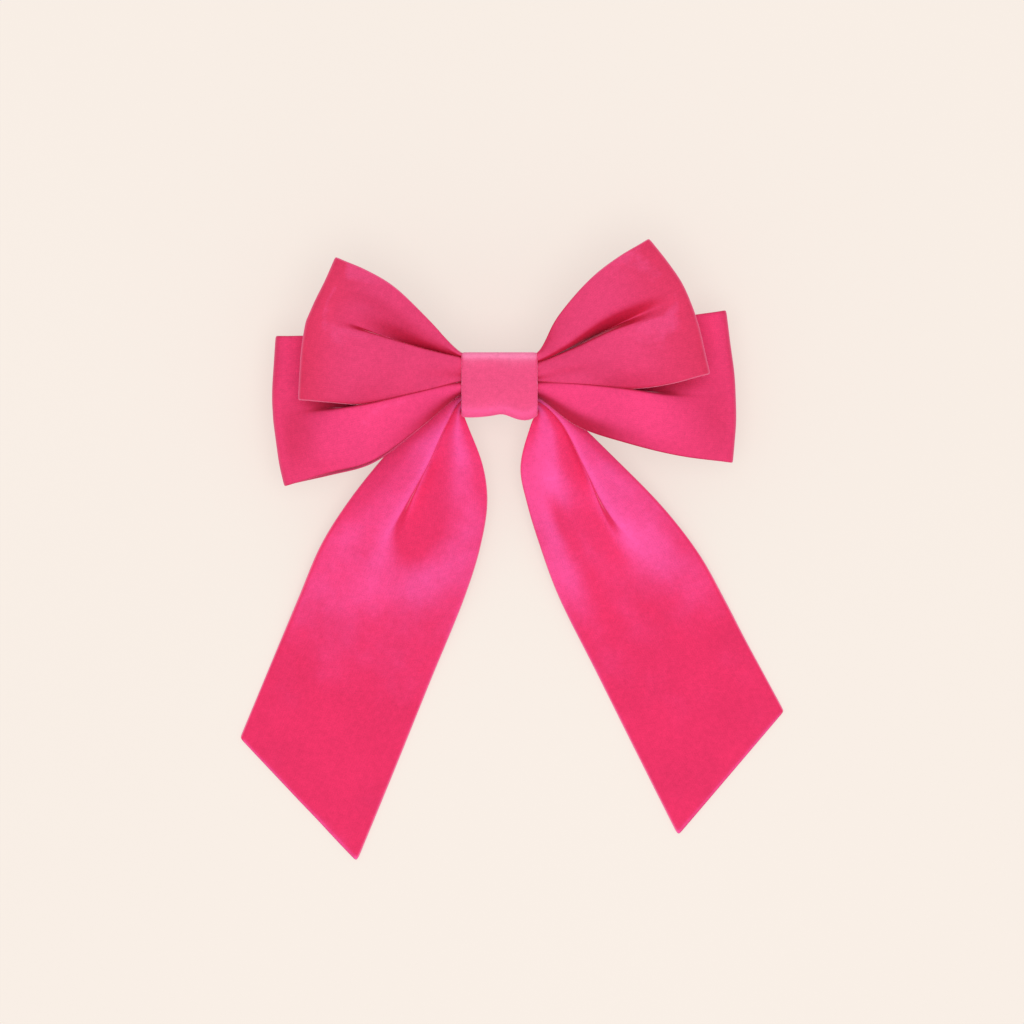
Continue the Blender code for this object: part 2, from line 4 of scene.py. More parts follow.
import bmesh
import bpy
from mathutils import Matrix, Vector


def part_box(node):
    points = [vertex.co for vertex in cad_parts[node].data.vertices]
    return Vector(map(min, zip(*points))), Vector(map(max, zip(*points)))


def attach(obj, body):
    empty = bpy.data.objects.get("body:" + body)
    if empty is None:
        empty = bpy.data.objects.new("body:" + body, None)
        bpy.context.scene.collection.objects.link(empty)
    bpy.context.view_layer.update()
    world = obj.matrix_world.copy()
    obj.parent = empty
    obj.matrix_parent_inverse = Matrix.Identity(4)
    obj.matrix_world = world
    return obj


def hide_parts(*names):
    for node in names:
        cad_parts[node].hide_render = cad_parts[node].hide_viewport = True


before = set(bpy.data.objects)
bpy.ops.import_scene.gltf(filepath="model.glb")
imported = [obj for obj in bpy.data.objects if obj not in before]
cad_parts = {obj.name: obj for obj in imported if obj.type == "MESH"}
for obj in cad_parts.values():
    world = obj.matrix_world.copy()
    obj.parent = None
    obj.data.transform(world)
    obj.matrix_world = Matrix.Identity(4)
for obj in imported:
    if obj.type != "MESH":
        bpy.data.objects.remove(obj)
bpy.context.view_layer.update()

MM = 0.001
WRAP_LOW, WRAP_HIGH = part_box("knot_wrap")
KNOT = (WRAP_LOW + WRAP_HIGH) / 2.0
KNOT.z = 0.0

# The view, in metres apart from the sensor. The camera looks straight down and sees VIEW_WIDTH across at
# the height of VIEW_LEVEL.
CAMERA_HEIGHT = 2.0
VIEW_WIDTH = 0.328
VIEW_LEVEL = 0.015
VIEW_CENTRE_Y = 0.01225
SENSOR_WIDTH = 36.0
VIEW_END = 20.0

# The width of the ribbon is in metres, like the UV map. All other lengths of the ribbons, the knot and
# the clip are in millimetres.
RIBBON_WIDTH = 0.048
RIBBON_THICKNESS = 0.9
KNOT_HALF = 12.3

# A ribbon runs straight through the knot between -INSIDE and INSIDE, with its lines closer together.
INSIDE = 8.5
BOW_PINCH = 0.9
TAIL_PINCH = 0.95

# A loop turns over within FOLD_INSET of its end and twice FOLD_DEPTH of height. Its back panel is narrower
# than the front by BACK_INSET at each edge, as a share of the width, apart from the lower edge of the lower
# left loop, and it follows the lines of the front by BACK_FOLLOW.
FOLD_INSET = 3.0
FOLD_DEPTH = 2.3
BACK_INSET = 0.03
LOWER_LEFT_INSET = -0.03
BACK_FOLLOW = 0.35

# Faces along each stretch of a line, and across each panel.
FRONT_STEPS = (2, 6, 8, 6, 5, 4)
BACK_STEPS = (4, 5, 5, 6, 5, 2)
TAIL_STEPS = (2, 5, 7, 6, 6, 7, 9, 9, 9)
KNOT_STEPS = 4
PANEL_STEPS = 5
CREASE_STEPS = 2

# Each set of lines has one crease: a sharp ridge with a hollow beside it. One more line goes between them,
# nearer to the ridge where the crease is deep.
RIDGE = 4
HOLLOW = 3
SHALLOW_SHARE = 0.45
DEEP_SHARE = 0.2
DEEP_CREASE = 4.0

# Pleats of the gathered ribbons: how many, how deep in the middle of the knot and at its ends, and on the
# front beside the knot, where they run out within PLEAT_FADE. Rows count as inside the knot up to
# KNOT_MARGIN beyond its ends.
PLEATS = 6
PLEAT_MIDDLE = 0.85
PLEAT_END = 0.1
PLEAT_FRONT = 0.08
PLEAT_FADE = 8.0
KNOT_MARGIN = 0.1

# How many rows from a fold the near_fold attribute reaches, and the shortest gap in a spline.
FOLD_REACH = 14.0
SHORTEST_GAP = 1e-6

# Ribbon control lines. Every point is (x, y, z) in millimetres from the middle of the knot, seen from
# the face of the bow, with z measured from the table. A loop's lines run from the knot to its fold.

UPPER_LEFT = (
    ((-12.3, 9.2, 26.1), (-22.5, 20.0, 29.6), (-34.3, 31.2, 33.0),
     (-43.3, 36.4, 33.2), (-52.3, 40.2, 30.0)),
    ((-12.3, 8.8, 26.4), (-23.0, 16.8, 29.6), (-36.6, 27.2, 33.2),
     (-46.0, 31.2, 33.4), (-55.6, 32.6, 30.2)),
    ((-12.3, 8.4, 25.9), (-23.4, 13.2, 28.2), (-38.8, 22.0, 31.2),
     (-49.0, 25.4, 31.7), (-58.6, 26.6, 30.2)),
    ((-12.3, 7.4, 24.4), (-23.9, 9.6, 25.2), (-41.0, 16.2, 29.2),
     (-51.6, 20.6, 32.4), (-60.5, 22.4, 30.2)),
    ((-12.3, 7.6, 26.9), (-24.0, 10.4, 30.3), (-41.2, 15.3, 33.1),
     (-53.0, 17.9, 33.3), (-61.7, 19.6, 30.2)),
    ((-12.3, 4.6, 27.4), (-25.0, 5.8, 30.7), (-42.5, 8.6, 33.8),
     (-54.3, 10.6, 33.8), (-63.1, 11.5, 30.2)),
    ((-12.3, 2.6, 26.6), (-25.0, 1.4, 29.9), (-43.0, 0.8, 32.6),
     (-54.8, 1.8, 33.2), (-63.8, 2.5, 30.1)),
    ((-12.3, 0.3, 26.2), (-25.0, -3.2, 29.2), (-43.5, -7.1, 29.8),
     (-54.6, -6.5, 31.4), (-64.2, -5.7, 29.8)),
)
UPPER_RIGHT = (
    ((12.3, 9.3, 26.2), (18.3, 20.6, 29.6), (29.3, 33.5, 33.2),
     (38.5, 40.6, 33.2), (47.6, 46.0, 30.0)),
    ((12.3, 8.7, 26.8), (19.8, 16.4, 30.6), (31.2, 27.2, 33.8),
     (42.3, 34.4, 34.0), (53.2, 39.0, 30.2)),
    ((12.3, 7.2, 27.3), (21.5, 11.9, 30.6), (33.0, 20.0, 32.9),
     (45.2, 26.4, 33.5), (57.8, 32.4, 30.2)),
    ((12.3, 6.6, 24.4), (22.6, 11.1, 25.2), (35.3, 17.3, 27.8),
     (47.0, 22.6, 30.4), (60.0, 28.0, 30.2)),
    ((12.3, 6.0, 26.7), (23.0, 10.1, 29.5), (36.0, 16.0, 32.7),
     (48.0, 19.8, 33.1), (61.9, 23.2, 30.2)),
    ((12.3, 3.8, 27.4), (24.0, 6.2, 30.3), (38.0, 10.4, 33.6),
     (50.5, 13.4, 33.9), (64.0, 16.4, 30.2)),
    ((12.3, 1.9, 26.9), (24.0, 2.8, 29.5), (39.0, 4.4, 32.6),
     (52.0, 6.2, 33.4), (65.5, 9.8, 30.1)),
    ((12.3, 0.3, 26.2), (24.0, -0.8, 29.4), (40.5, -2.3, 29.8),
     (53.5, -0.9, 31.4), (67.2, 2.6, 29.8)),
)
LOWER_LEFT = (
    ((-12.3, 6.6, 21.8), (-24.0, 8.0, 20.6), (-40.0, 12.2, 19.4),
     (-56.0, 14.9, 18.0), (-71.4, 15.0, 15.5)),
    ((-12.3, 4.0, 21.8), (-25.0, 4.4, 21.0), (-41.0, 6.0, 20.6),
     (-57.0, 7.0, 19.5), (-72.0, 6.0, 16.0)),
    ((-12.3, 1.2, 21.9), (-25.5, 0.2, 21.7), (-42.0, -2.4, 22.0),
     (-57.5, -2.6, 21.5), (-72.5, -2.0, 16.3)),
    ((-12.3, -0.5, 23.5), (-26.0, -4.2, 24.4), (-42.5, -8.0, 26.4),
     (-57.8, -7.8, 25.6), (-72.5, -7.0, 16.5)),
    ((-12.3, -0.2, 26.3), (-26.0, -3.3, 30.0), (-42.5, -7.2, 31.0),
     (-57.8, -9.6, 27.6), (-72.2, -12.0, 16.6)),
    ((-12.3, -1.7, 27.1), (-26.8, -7.0, 30.0), (-43.0, -13.0, 30.8),
     (-57.6, -16.2, 28.0), (-71.3, -19.0, 16.8)),
    ((-12.3, -3.0, 25.6), (-26.5, -11.4, 28.0), (-42.8, -19.5, 28.8),
     (-56.8, -23.3, 26.6), (-70.2, -26.5, 16.8)),
    ((-12.3, -3.6, 23.4), (-25.5, -14.4, 25.0), (-41.0, -25.4, 25.7),
     (-54.5, -29.0, 23.5), (-68.6, -33.3, 16.2)),
)
LOWER_RIGHT = (
    ((12.3, 6.6, 21.8), (24.0, 10.0, 20.6), (40.0, 15.8, 19.4),
     (57.0, 20.8, 18.0), (72.3, 23.2, 15.5)),
    ((12.3, 4.0, 21.8), (25.0, 6.0, 21.0), (41.0, 9.0, 20.6),
     (58.0, 12.0, 19.5), (73.7, 12.0, 16.0)),
    ((12.3, 1.2, 21.9), (25.0, 2.4, 21.7), (41.0, 2.2, 22.0),
     (58.0, 3.0, 21.5), (74.8, 4.0, 16.3)),
    ((12.3, -0.4, 23.5), (25.0, -1.6, 24.4), (41.0, -2.9, 26.6),
     (57.8, -2.8, 25.8), (75.2, -0.8, 16.5)),
    ((12.3, -0.1, 26.3), (25.0, -0.7, 30.0), (41.0, -2.4, 31.0),
     (57.6, -5.0, 27.6), (75.4, -5.8, 16.6)),
    ((12.3, -1.9, 27.1), (25.5, -4.6, 29.8), (42.0, -8.4, 30.8),
     (58.4, -11.4, 28.0), (75.5, -12.4, 16.8)),
    ((12.3, -3.5, 25.4), (25.5, -9.4, 27.8), (42.0, -14.4, 28.8),
     (58.4, -17.7, 26.6), (75.0, -19.2, 16.8)),
    ((12.3, -4.6, 21.6), (24.6, -13.8, 20.5), (41.0, -19.5, 24.5),
     (57.6, -23.6, 23.5), (74.4, -25.8, 16.2)),
)

# A tail's lines run from the knot to the cut end: inner edge, inner panel, its shoulder, the hollow,
# the ridge of the outer flap, the flap and the outer edge.
LEFT_TAIL = (
    ((-12.3, -8.4, 16.4), (-10.6, -13.0, 14.8), (-5.3, -26.5, 10.8),
     (-3.8, -38.0, 9.2), (-5.9, -52.0, 6.8), (-10.8, -68.0, 3.8),
     (-22.0, -95.5, 1.15), (-33.5, -124.0, 0.7), (-45.7, -153.7, 0.8)),
    ((-12.3, -8.0, 17.6), (-12.0, -13.4, 16.0), (-9.4, -27.2, 12.2),
     (-9.4, -39.6, 10.2), (-13.0, -54.0, 7.2), (-19.4, -70.5, 3.5),
     (-30.5, -96.0, 1.15), (-41.0, -121.5, 0.7), (-52.0, -147.1, 0.7)),
    ((-12.3, -6.8, 18.2), (-13.8, -13.6, 16.4), (-14.2, -27.4, 12.2),
     (-16.0, -41.0, 9.2), (-21.4, -56.5, 6.8), (-28.3, -72.5, 3.2),
     (-38.8, -96.0, 1.15), (-48.6, -118.0, 0.7), (-58.2, -140.4, 0.7)),
    ((-12.3, -5.6, 17.6), (-17.4, -13.4, 14.8), (-23.4, -26.8, 8.2),
     (-29.2, -41.0, 5.6), (-32.2, -57.0, 6.15), (-37.3, -73.6, 3.2),
     (-47.2, -96.0, 1.15), (-56.2, -114.8, 0.7), (-64.5, -133.8, 0.7)),
    ((-12.3, -5.3, 19.2), (-17.3, -13.4, 18.0), (-23.2, -26.4, 14.2),
     (-30.8, -39.8, 11.0), (-39.6, -54.6, 7.55), (-46.3, -73.2, 3.4),
     (-55.5, -94.5, 1.15), (-63.4, -111.4, 0.7), (-70.7, -127.2, 0.7)),
    ((-12.3, -4.0, 19.4), (-20.6, -12.2, 18.0), (-29.6, -25.0, 14.0),
     (-39.2, -38.6, 10.8), (-48.4, -52.6, 6.95), (-55.6, -71.2, 3.4),
     (-63.6, -91.5, 1.15), (-70.4, -106.9, 0.7), (-77.0, -120.5, 0.7)),
    ((-12.3, -2.2, 18.0), (-24.6, -10.6, 16.0), (-36.8, -23.4, 12.4),
     (-48.6, -38.2, 9.0), (-57.3, -52.0, 6.35), (-64.3, -68.5, 3.4),
     (-71.2, -85.0, 1.15), (-77.3, -99.7, 0.7), (-83.2, -113.9, 0.8)),
)
RIGHT_TAIL = (
    ((12.3, -8.5, 16.2), (10.3, -12.9, 14.6), (6.6, -27.0, 10.6),
     (8.8, -39.0, 7.7), (12.9, -52.5, 5.3), (18.6, -68.0, 2.7),
     (31.2, -93.3, 1.01), (44.0, -119.0, 0.7), (57.2, -145.3, 0.8)),
    ((12.3, -8.1, 17.6), (13.0, -12.9, 16.2), (12.2, -27.4, 12.0),
     (15.0, -40.2, 9.3), (20.8, -54.6, 5.7), (27.6, -70.2, 2.7),
     (39.5, -93.3, 1.01), (51.3, -116.0, 0.7), (62.9, -138.6, 0.7)),
    ((12.3, -6.8, 18.2), (16.4, -12.6, 16.4), (18.6, -27.2, 12.4),
     (21.4, -40.4, 7.1), (29.4, -56.2, 3.5), (36.4, -71.8, 1.8),
     (47.4, -92.5, 1.01), (58.2, -113.0, 0.7), (68.6, -131.9, 0.7)),
    ((12.3, -5.8, 17.6), (20.2, -12.6, 14.4), (27.2, -26.4, 7.8),
     (32.8, -40.8, 3.9), (39.2, -56.6, 2.7), (45.2, -72.6, 1.8),
     (55.4, -91.5, 1.01), (65.0, -109.0, 0.7), (74.2, -125.3, 0.7)),
    ((12.3, -5.4, 19.2), (19.8, -12.4, 17.8), (26.8, -25.8, 14.2),
     (34.4, -40.4, 8.8), (46.4, -55.4, 3.8), (54.0, -72.4, 1.6),
     (63.4, -90.5, 1.01), (71.8, -104.7, 0.7), (79.9, -118.6, 0.7)),
    ((12.3, -4.4, 19.4), (21.6, -11.6, 18.0), (32.0, -24.4, 14.0),
     (43.2, -38.4, 8.6), (55.4, -53.8, 4.6), (63.4, -71.4, 1.6),
     (71.5, -87.5, 1.01), (78.7, -100.0, 0.7), (85.5, -112.0, 0.7)),
    ((12.3, -3.0, 18.2), (23.2, -11.3, 16.6), (37.8, -25.0, 12.4),
     (53.0, -40.6, 6.8), (64.2, -55.2, 3.6), (72.3, -69.7, 1.6),
     (78.8, -82.3, 1.01), (85.0, -93.8, 0.7), (91.2, -105.3, 0.8)),
)

# Back panels: the height and sag at three stations from the fold to the knot, the height at the knot, and
# the depth of the pleats at distances from the middle of the knot.
UPPER_BACK = ((26.6, 1.0), (25.2, 0.4), (23.8, 0.0))
UPPER_BACK_AT_KNOT = 23.2
UPPER_PLEATS = ((KNOT_HALF, 0.35), (20.0, 1.2), (40.0, 1.6), (54.0, 0.0))
LOWER_BACK = ((14.2, 1.0), (14.6, 0.6), (18.2, 0.0))
LOWER_BACK_AT_KNOT = 20.6
LOWER_PLEATS = ((KNOT_HALF, 0.35), (20.0, 1.2), (42.0, 1.6), (60.0, 0.0))

# Knot band: its lower edge, its upper edge, the height of its middle and how much less it is at the ends.
KNOT_LOW_EDGE = ((-12.3, -10.6, 0), (-8.0, -10.7, 0), (-2.2, -10.1, 0), (1.1, -9.5, 0), (4.0, -10.7, 0),
                 (8.8, -11.7, 0), (12.3, -10.0, 0))
KNOT_LOW_EDGE_STEPS = 6
KNOT_TOP = 9.1
KNOT_CROWN = 28.6
KNOT_CROWN_FALL = 0.5
KNOT_COLUMNS = 12
KNOT_RING_STEPS = 3
KNOT_THICKNESS = 1.0

# Base plate: an arc that rises by PLATE_RISE over half of its length.
PLATE_HALF = 31.0
PLATE_RISE = 3.0
PLATE_LEVEL = 9.8
PLATE_THICKNESS = 0.8

# Felt strip on the base plate. Beyond FELT_STRAIGHT it narrows over FELT_END to a rounder end.
FELT_HALF = 29.6
FELT_STRAIGHT = 27.6
FELT_END = 2.0
FELT_NARROWING = 0.35
FELT_ROWS = 40
FELT_COLUMNS = (-3.9, -3.0, -1.5, 0.0, 1.5, 3.0, 3.9)
FELT_LIFT = 0.72
FELT_THICKNESS = 0.75
FELT_LEVELS = 2

# Threads: the half depth, lowest and highest level and corner radius of each oval, and the thread's radius.
WINDING_PLACES = (-0.9, -0.3, 0.3, 0.9)
WINDING_OVAL = (8.2, 15.3, 27.3, 1.4)
WINDING_RADIUS = 0.28
STITCH_PLACE = 27.0
STITCH_HALF = 2.2
STITCH_BELOW = 1.25
STITCH_ABOVE = 1.75
STITCH_CORNER = 0.7
STITCH_TWISTS = 9
STITCH_PLIES = 2
PLY_OFFSET = 0.14
PLY_RADIUS = 0.17
OVAL_STEPS = 4
TUBE_RESOLUTION = 2

# Naps of the velvets: the way each one's pile leans. It is also the way of painted light: the velvet is
# painted lit where the cloth turns towards it and in painted shade where it turns away.
UPPER_NAP_AND_LIGHT = Vector((0.0, 0.22, 0.975)).normalized()
LOWER_NAP_AND_LIGHT = Vector((0.0, -0.10, 0.995)).normalized()
TAIL_NAP_AND_LIGHT = Vector((0.0, -0.72, 0.69)).normalized()
KNOT_NAP_AND_LIGHT = Vector((0.0, 0.80, 0.60)).normalized()

# Velvet colours and levels. Colours are linear. A band is the stretch of a value over which a colour
# comes in, and a most is its largest share. The band of the painted edge highlight is in metres from the
# middle line.
# Painted highlight: the paler pink put on the ribbon's edges and on cloth seen at a grazing angle.
EDGE_HIGHLIGHT = (1.0, 0.22, 0.42)
EDGE_HIGHLIGHT_BAND = (0.0233, 0.0239)
# Painted highlight on the folds of the loops.
FOLD_HIGHLIGHT = (1.0, 0.21, 0.41)
FOLD_HIGHLIGHT_BAND = (0.86, 1.0)
FOLD_HIGHLIGHT_MOST = 0.65
# Painted highlight where the cloth is seen at a grazing angle.
GRAZING_HIGHLIGHT_BAND = (0.72, 0.98)
GRAZING_HIGHLIGHT_MOST = 0.55
# Painted shade: the stretch of near_fold over which the loops darken towards their folds.
FOLD_SHADE_BAND = (0.0, 0.75)
# Painted light: how much lighter the tails get near the knot.
KNOT_LIGHT_MOST = 0.85
LIT_LEVEL = 0.97
LIT_SPAN = 0.03
RUFFLE = 0.03
PATCH_CHANGE = 0.06
TUFT_CHANGE = 0.09
WEAVE_CHANGE = 0.14
PILE_ROUGHNESS = (0.82, 0.98)
PILE_SPECULAR = 0.12
SHEEN_WEIGHT = 0.5
SHEEN_ROUGHNESS = 0.22
SHEEN_TINT = (1.0, 0.50, 0.72, 1.0)

# Distance between threads of the weave along and across the ribbon, in metres, on the face and the back.
# On the face, how much the weft counts beside the warp, and the weave beside the tufts in the relief.
FACE_PITCH = (0.00085, 0.00075)
BACK_PITCH = (0.0007, 0.0006)
WEFT_SHARE = 0.35
WEAVE_HEIGHT = 0.12

# Wrong side of the ribbon, metal and yarn: the darker or paler tone of each, and how much its fine pattern
# counts beside the patches. The metal's lines are drawn out along X.
BACK_DARK = 0.86
BACK_WEAVE_SHARE = 0.12
METAL_DULL = 0.86
METAL_LINE_SHARE = 0.4
METAL_STRETCH = (0.06, 1.0, 1.0)
YARN_DARK = 0.72
YARN_PALE = 1.25
YARN_LIFT = 0.02

# A noise texture hardly leaves this range.
NOISE_LOW = 0.3
NOISE_HIGH = 0.7

# Table, light and surroundings, in metres and linear colours.
TABLE_REACH = 8.0
TABLE_DROP = 0.0001
TABLE_COLOURS = ((0.345, 0.315, 0.29), (0.355, 0.325, 0.30))
TABLE_GLOW = 1.66
LIGHT_SPOT = (0.05, -0.15, 1.95)
LIGHT_SIZE = 1.7
LIGHT_POWER = 17.0
LIGHT_COLOUR = (1.0, 0.985, 0.96)
SKY_COLOUR = (1.0, 0.99, 0.98, 1.0)
SKY_STRENGTH = 0.66


# Curves and lofts

def mix(low, high, share):
    return low + (high - low) * share


def smooth(value):
    value = min(max(value, 0.0), 1.0)
    return value * value * (3.0 - 2.0 * value)


def spline(points, steps, closed=False):
    """Smooth line through the points. Each interval is cut into steps pieces, which is one number for all
    of them or a number for each."""
    count = len(points)
    intervals = count if closed else count - 1

    def at(index):
        if closed:
            return points[index % count]
        if index < 0:
            return points[0] * 2.0 - points[1]
        if index >= count:
            return points[-1] * 2.0 - points[-2]
        return points[index]

    line = []
    for index in range(intervals):
        before, start, end, after = (at(index + offset) for offset in (-1, 0, 1, 2))
        gaps = [max((there - here).length, SHORTEST_GAP) ** 0.5
                for here, there in ((before, start), (start, end), (end, after))]
        leave = ((start - before) / gaps[0] - (end - before) / (gaps[0] + gaps[1])
                 + (end - start) / gaps[1]) * gaps[1]
        arrive = ((end - start) / gaps[1] - (after - start) / (gaps[1] + gaps[2])
                  + (after - end) / gaps[2]) * gaps[1]
        pieces = steps[index] if hasattr(steps, "__len__") else steps
        for step in range(pieces):
            t = step / pieces
            line.append(start * (2 * t ** 3 - 3 * t ** 2 + 1) + leave * (t ** 3 - 2 * t ** 2 + t)
                        + end * (3 * t ** 2 - 2 * t ** 3) + arrive * (t ** 3 - t ** 2))
    if not closed:
        line.append(points[-1].copy())
    return line


def place(point):
    """Where a point belongs in the frame. Control points are drawn as the camera sees them on the level
    of VIEW_LEVEL, so a point above it moves towards the middle of the view."""
    spot = KNOT + Vector(point) * MM
    share = (CAMERA_HEIGHT - spot.z) / (CAMERA_HEIGHT - VIEW_LEVEL)
    axis = Vector((0.0, VIEW_CENTRE_Y, 0.0))
    flat = Vector((spot.x, spot.y, 0.0))
    return axis + (flat - axis) * share + Vector((0.0, 0.0, spot.z))


def running_lengths(points):
    """Length along the points up to each of them, in metres."""
    lengths = [0.0]
    for before, after in zip(points, points[1:]):
        lengths.append(lengths[-1] + (after - before).length * MM)
    return lengths


def grid_object(name, rows, closed, materials, thickness=RIBBON_THICKNESS, levels=1, folds=()):
    """Ribbon through rows of points, with its length and width in metres in the UV map. The near_fold
    attribute is 1 on the rows in folds and falls to 0 away from them."""
    shape = bmesh.new()
    grid = [[shape.verts.new(place(point)) for point in row] for row in rows]
    chart = shape.loops.layers.uv.new("ribbon")
    count = len(rows)
    columns = len(rows[0])
    middle = columns // 2
    lengths = running_lengths([row[middle] for row in rows] + [rows[0][middle]])
    widths = [running_lengths(row) for row in rows]
    for here in range(count if closed else count - 1):
        there = (here + 1) % count
        for column in range(columns - 1):
            face = shape.faces.new((grid[here][column], grid[there][column],
                                    grid[there][column + 1], grid[here][column + 1]))
            face.smooth = True
            spots = ((here, here, column), (here + 1, there, column), (here + 1, there, column + 1),
                     (here, here, column + 1))
            for loop, (along, row, spot) in zip(face.loops, spots):
                share = widths[row][spot] / widths[row][-1]
                loop[chart].uv = (lengths[along], share * RIBBON_WIDTH)
    mesh = bpy.data.meshes.new(name)
    shape.to_mesh(mesh)
    shape.free()
    near_fold = mesh.attributes.new("near_fold", "FLOAT", "POINT")
    for index in range(count * columns):
        away = min((abs(index // columns - fold) for fold in folds), default=FOLD_REACH)
        near_fold.data[index].value = max(0.0, 1.0 - away / FOLD_REACH)
    for material in materials:
        mesh.materials.append(material)
    piece = bpy.data.objects.new(name, mesh)
    bpy.context.scene.collection.objects.link(piece)
    solid = piece.modifiers.new("thickness", "SOLIDIFY")
    solid.thickness = thickness * MM
    solid.offset = 0.0
    solid.use_even_offset = False
    solid.material_offset = len(materials) - 1
    solid.material_offset_rim = 0
    soft = piece.modifiers.new("soft", "SUBSURF")
    soft.levels = levels
    soft.render_levels = levels
    return piece


def loft(lines, steps, ridge, hollow, closed=False):
    """Rows across a ribbon from the lines that run along it. One more line goes between ridge and hollow."""
    along = [spline(line, steps, closed) for line in lines]
    lower = min(ridge, hollow)
    crease_steps = [CREASE_STEPS, PANEL_STEPS] if ridge < hollow else [PANEL_STEPS, CREASE_STEPS]
    counts = [PANEL_STEPS] * (len(lines) - 1)
    counts[lower:lower + 1] = crease_steps
    rows = []
    for station in zip(*along):
        row = list(station)
        way = row[hollow] - row[ridge]
        sharpness = smooth(abs(way.z) / DEEP_CREASE)
        row.insert(lower + 1, row[ridge] + way * mix(SHALLOW_SHARE, DEEP_SHARE, sharpness))
        rows.append(spline(row, counts))
    return rows


# Bow loops

def loop_path(lines, side, back_levels, knot_level, bottom_inset):
    """Complete lines of one loop: inside the knot, front panel, fold, back panel and inside again."""
    paths = []
    last = len(lines) - 1
    depth = Vector((0.0, 0.0, FOLD_DEPTH))
    for index, line in enumerate(lines):
        share = index / last
        bulge = 4.0 * share * (1.0 - share)
        knot, *front, fold = (Vector(point) for point in line)
        way = (fold - front[-1]).to_2d().normalized()
        turn = fold - Vector((way.x, way.y, 0.0)) * FOLD_INSET
        path = [Vector((side * INSIDE, knot.y * BOW_PINCH, knot.z)), knot, *front]
        path += [turn + depth, fold, turn - depth]
        for station, (height, sag) in zip(range(len(front), 0, -1), back_levels):
            first = Vector(lines[0][station])
            final = Vector(lines[last][station])
            spot = first.lerp(final, mix(BACK_INSET, 1.0 - bottom_inset, share))
            spot = spot.lerp(Vector(line[station]), BACK_FOLLOW)
            path.append(Vector((spot.x, spot.y, height - sag * bulge)))
        path.append(Vector((side * KNOT_HALF, knot.y, knot_level)))
        path.append(Vector((side * INSIDE, knot.y * BOW_PINCH, knot_level)))
        paths.append(path)
    return paths


def gather_rows(rows, fold_row, loop_rows, back_pleats):
    """Small pleats that run out from the knot, on the back panels and inside the knot."""
    count = len(rows)
    for index, row in enumerate(rows):
        reach = abs(row[len(row) // 2].x)
        loop_row = min(index, (2 * loop_rows + KNOT_STEPS - index) % count)
        depth = 0.0
        if reach < KNOT_HALF + KNOT_MARGIN:
            depth = mix(PLEAT_MIDDLE, PLEAT_END, smooth(reach / KNOT_HALF))
        elif loop_row <= fold_row:
            depth = PLEAT_FRONT * (1.0 - smooth((reach - KNOT_HALF) / PLEAT_FADE))
        else:
            for (near, low), (far, high) in zip(back_pleats, back_pleats[1:]):
                if near <= reach <= far:
                    depth = mix(low, high, smooth((reach - near) / (far - near)))
        width = len(row) - 1
        for column, point in enumerate(row):
            point.z += depth * math.cos(math.tau * PLEATS * column / width)


def make_bow(name, left, right, face, back_levels, knot_level, back_pleats, left_inset=BACK_INSET):
    """One closed ribbon that runs through the right loop, the knot, the left loop and the knot again."""
    right_paths = loop_path(right, 1, back_levels, knot_level, BACK_INSET)
    left_paths = loop_path(left, -1, back_levels, knot_level, left_inset)
    lines = [right_path + left_path[::-1] for right_path, left_path in zip(right_paths, left_paths)]
    last = len(lines) - 1
    loop_steps = FRONT_STEPS + BACK_STEPS
    steps = (*loop_steps, KNOT_STEPS, *loop_steps[::-1], KNOT_STEPS)
    rows = loft(lines[::-1], steps, last - RIDGE, last - HOLLOW, closed=True)
    fold_row = sum(FRONT_STEPS)
    loop_rows = sum(loop_steps)
    gather_rows(rows, fold_row, loop_rows, back_pleats)
    folds = (fold_row, 2 * loop_rows + KNOT_STEPS - fold_row)
    return grid_object(name, rows, True, (face, ribbon_back), folds=folds)


# Tails, knot, thread and felt

def make_tails():
    """One ribbon that runs through the knot, with a tail on each side."""
    lines = []
    for left, right in zip(LEFT_TAIL, RIGHT_TAIL):
        left_points = [Vector(point) for point in reversed(left)]
        right_points = [Vector(point) for point in right]
        inside = [Vector((side * INSIDE, knot.y * TAIL_PINCH, knot.z))
                  for side, knot in ((-1, left_points[-1]), (1, right_points[0]))]
        lines.append(left_points + inside + right_points)
    rows = loft(lines, (*TAIL_STEPS[::-1], KNOT_STEPS, *TAIL_STEPS), RIDGE, HOLLOW)
    return grid_object("tails", rows, False, (tail_velvet, ribbon_back))


def knot_ring(x, bottom):
    """Outline of the knot's band at one place along X: over the top, round the upper edge, along the
    underside and up the lower edge, which is at bottom."""
    crown = KNOT_CROWN - KNOT_CROWN_FALL * (x / KNOT_HALF) ** 2
    outline = ((0.0, crown + 0.3), (KNOT_TOP - 3.4, crown + 0.15), (KNOT_TOP - 0.9, crown - 0.4),
               (KNOT_TOP, crown - 1.9), (KNOT_TOP - 0.1, 22.5), (KNOT_TOP - 0.4, 17.5), (8.6, 14.6),
               (6.4, 12.0), (3.6, 11.4), (0.0, 11.4), (-3.6, 11.4), (-6.4, 12.0), (-8.8, 14.6),
               (bottom + 0.5, 17.5), (bottom, 21.5), (bottom + 0.1, crown - 3.2),
               (bottom + 1.5, crown - 0.9), (bottom + 4.4, crown + 0.1))
    return [Vector((x, y, z)) for y, z in outline]


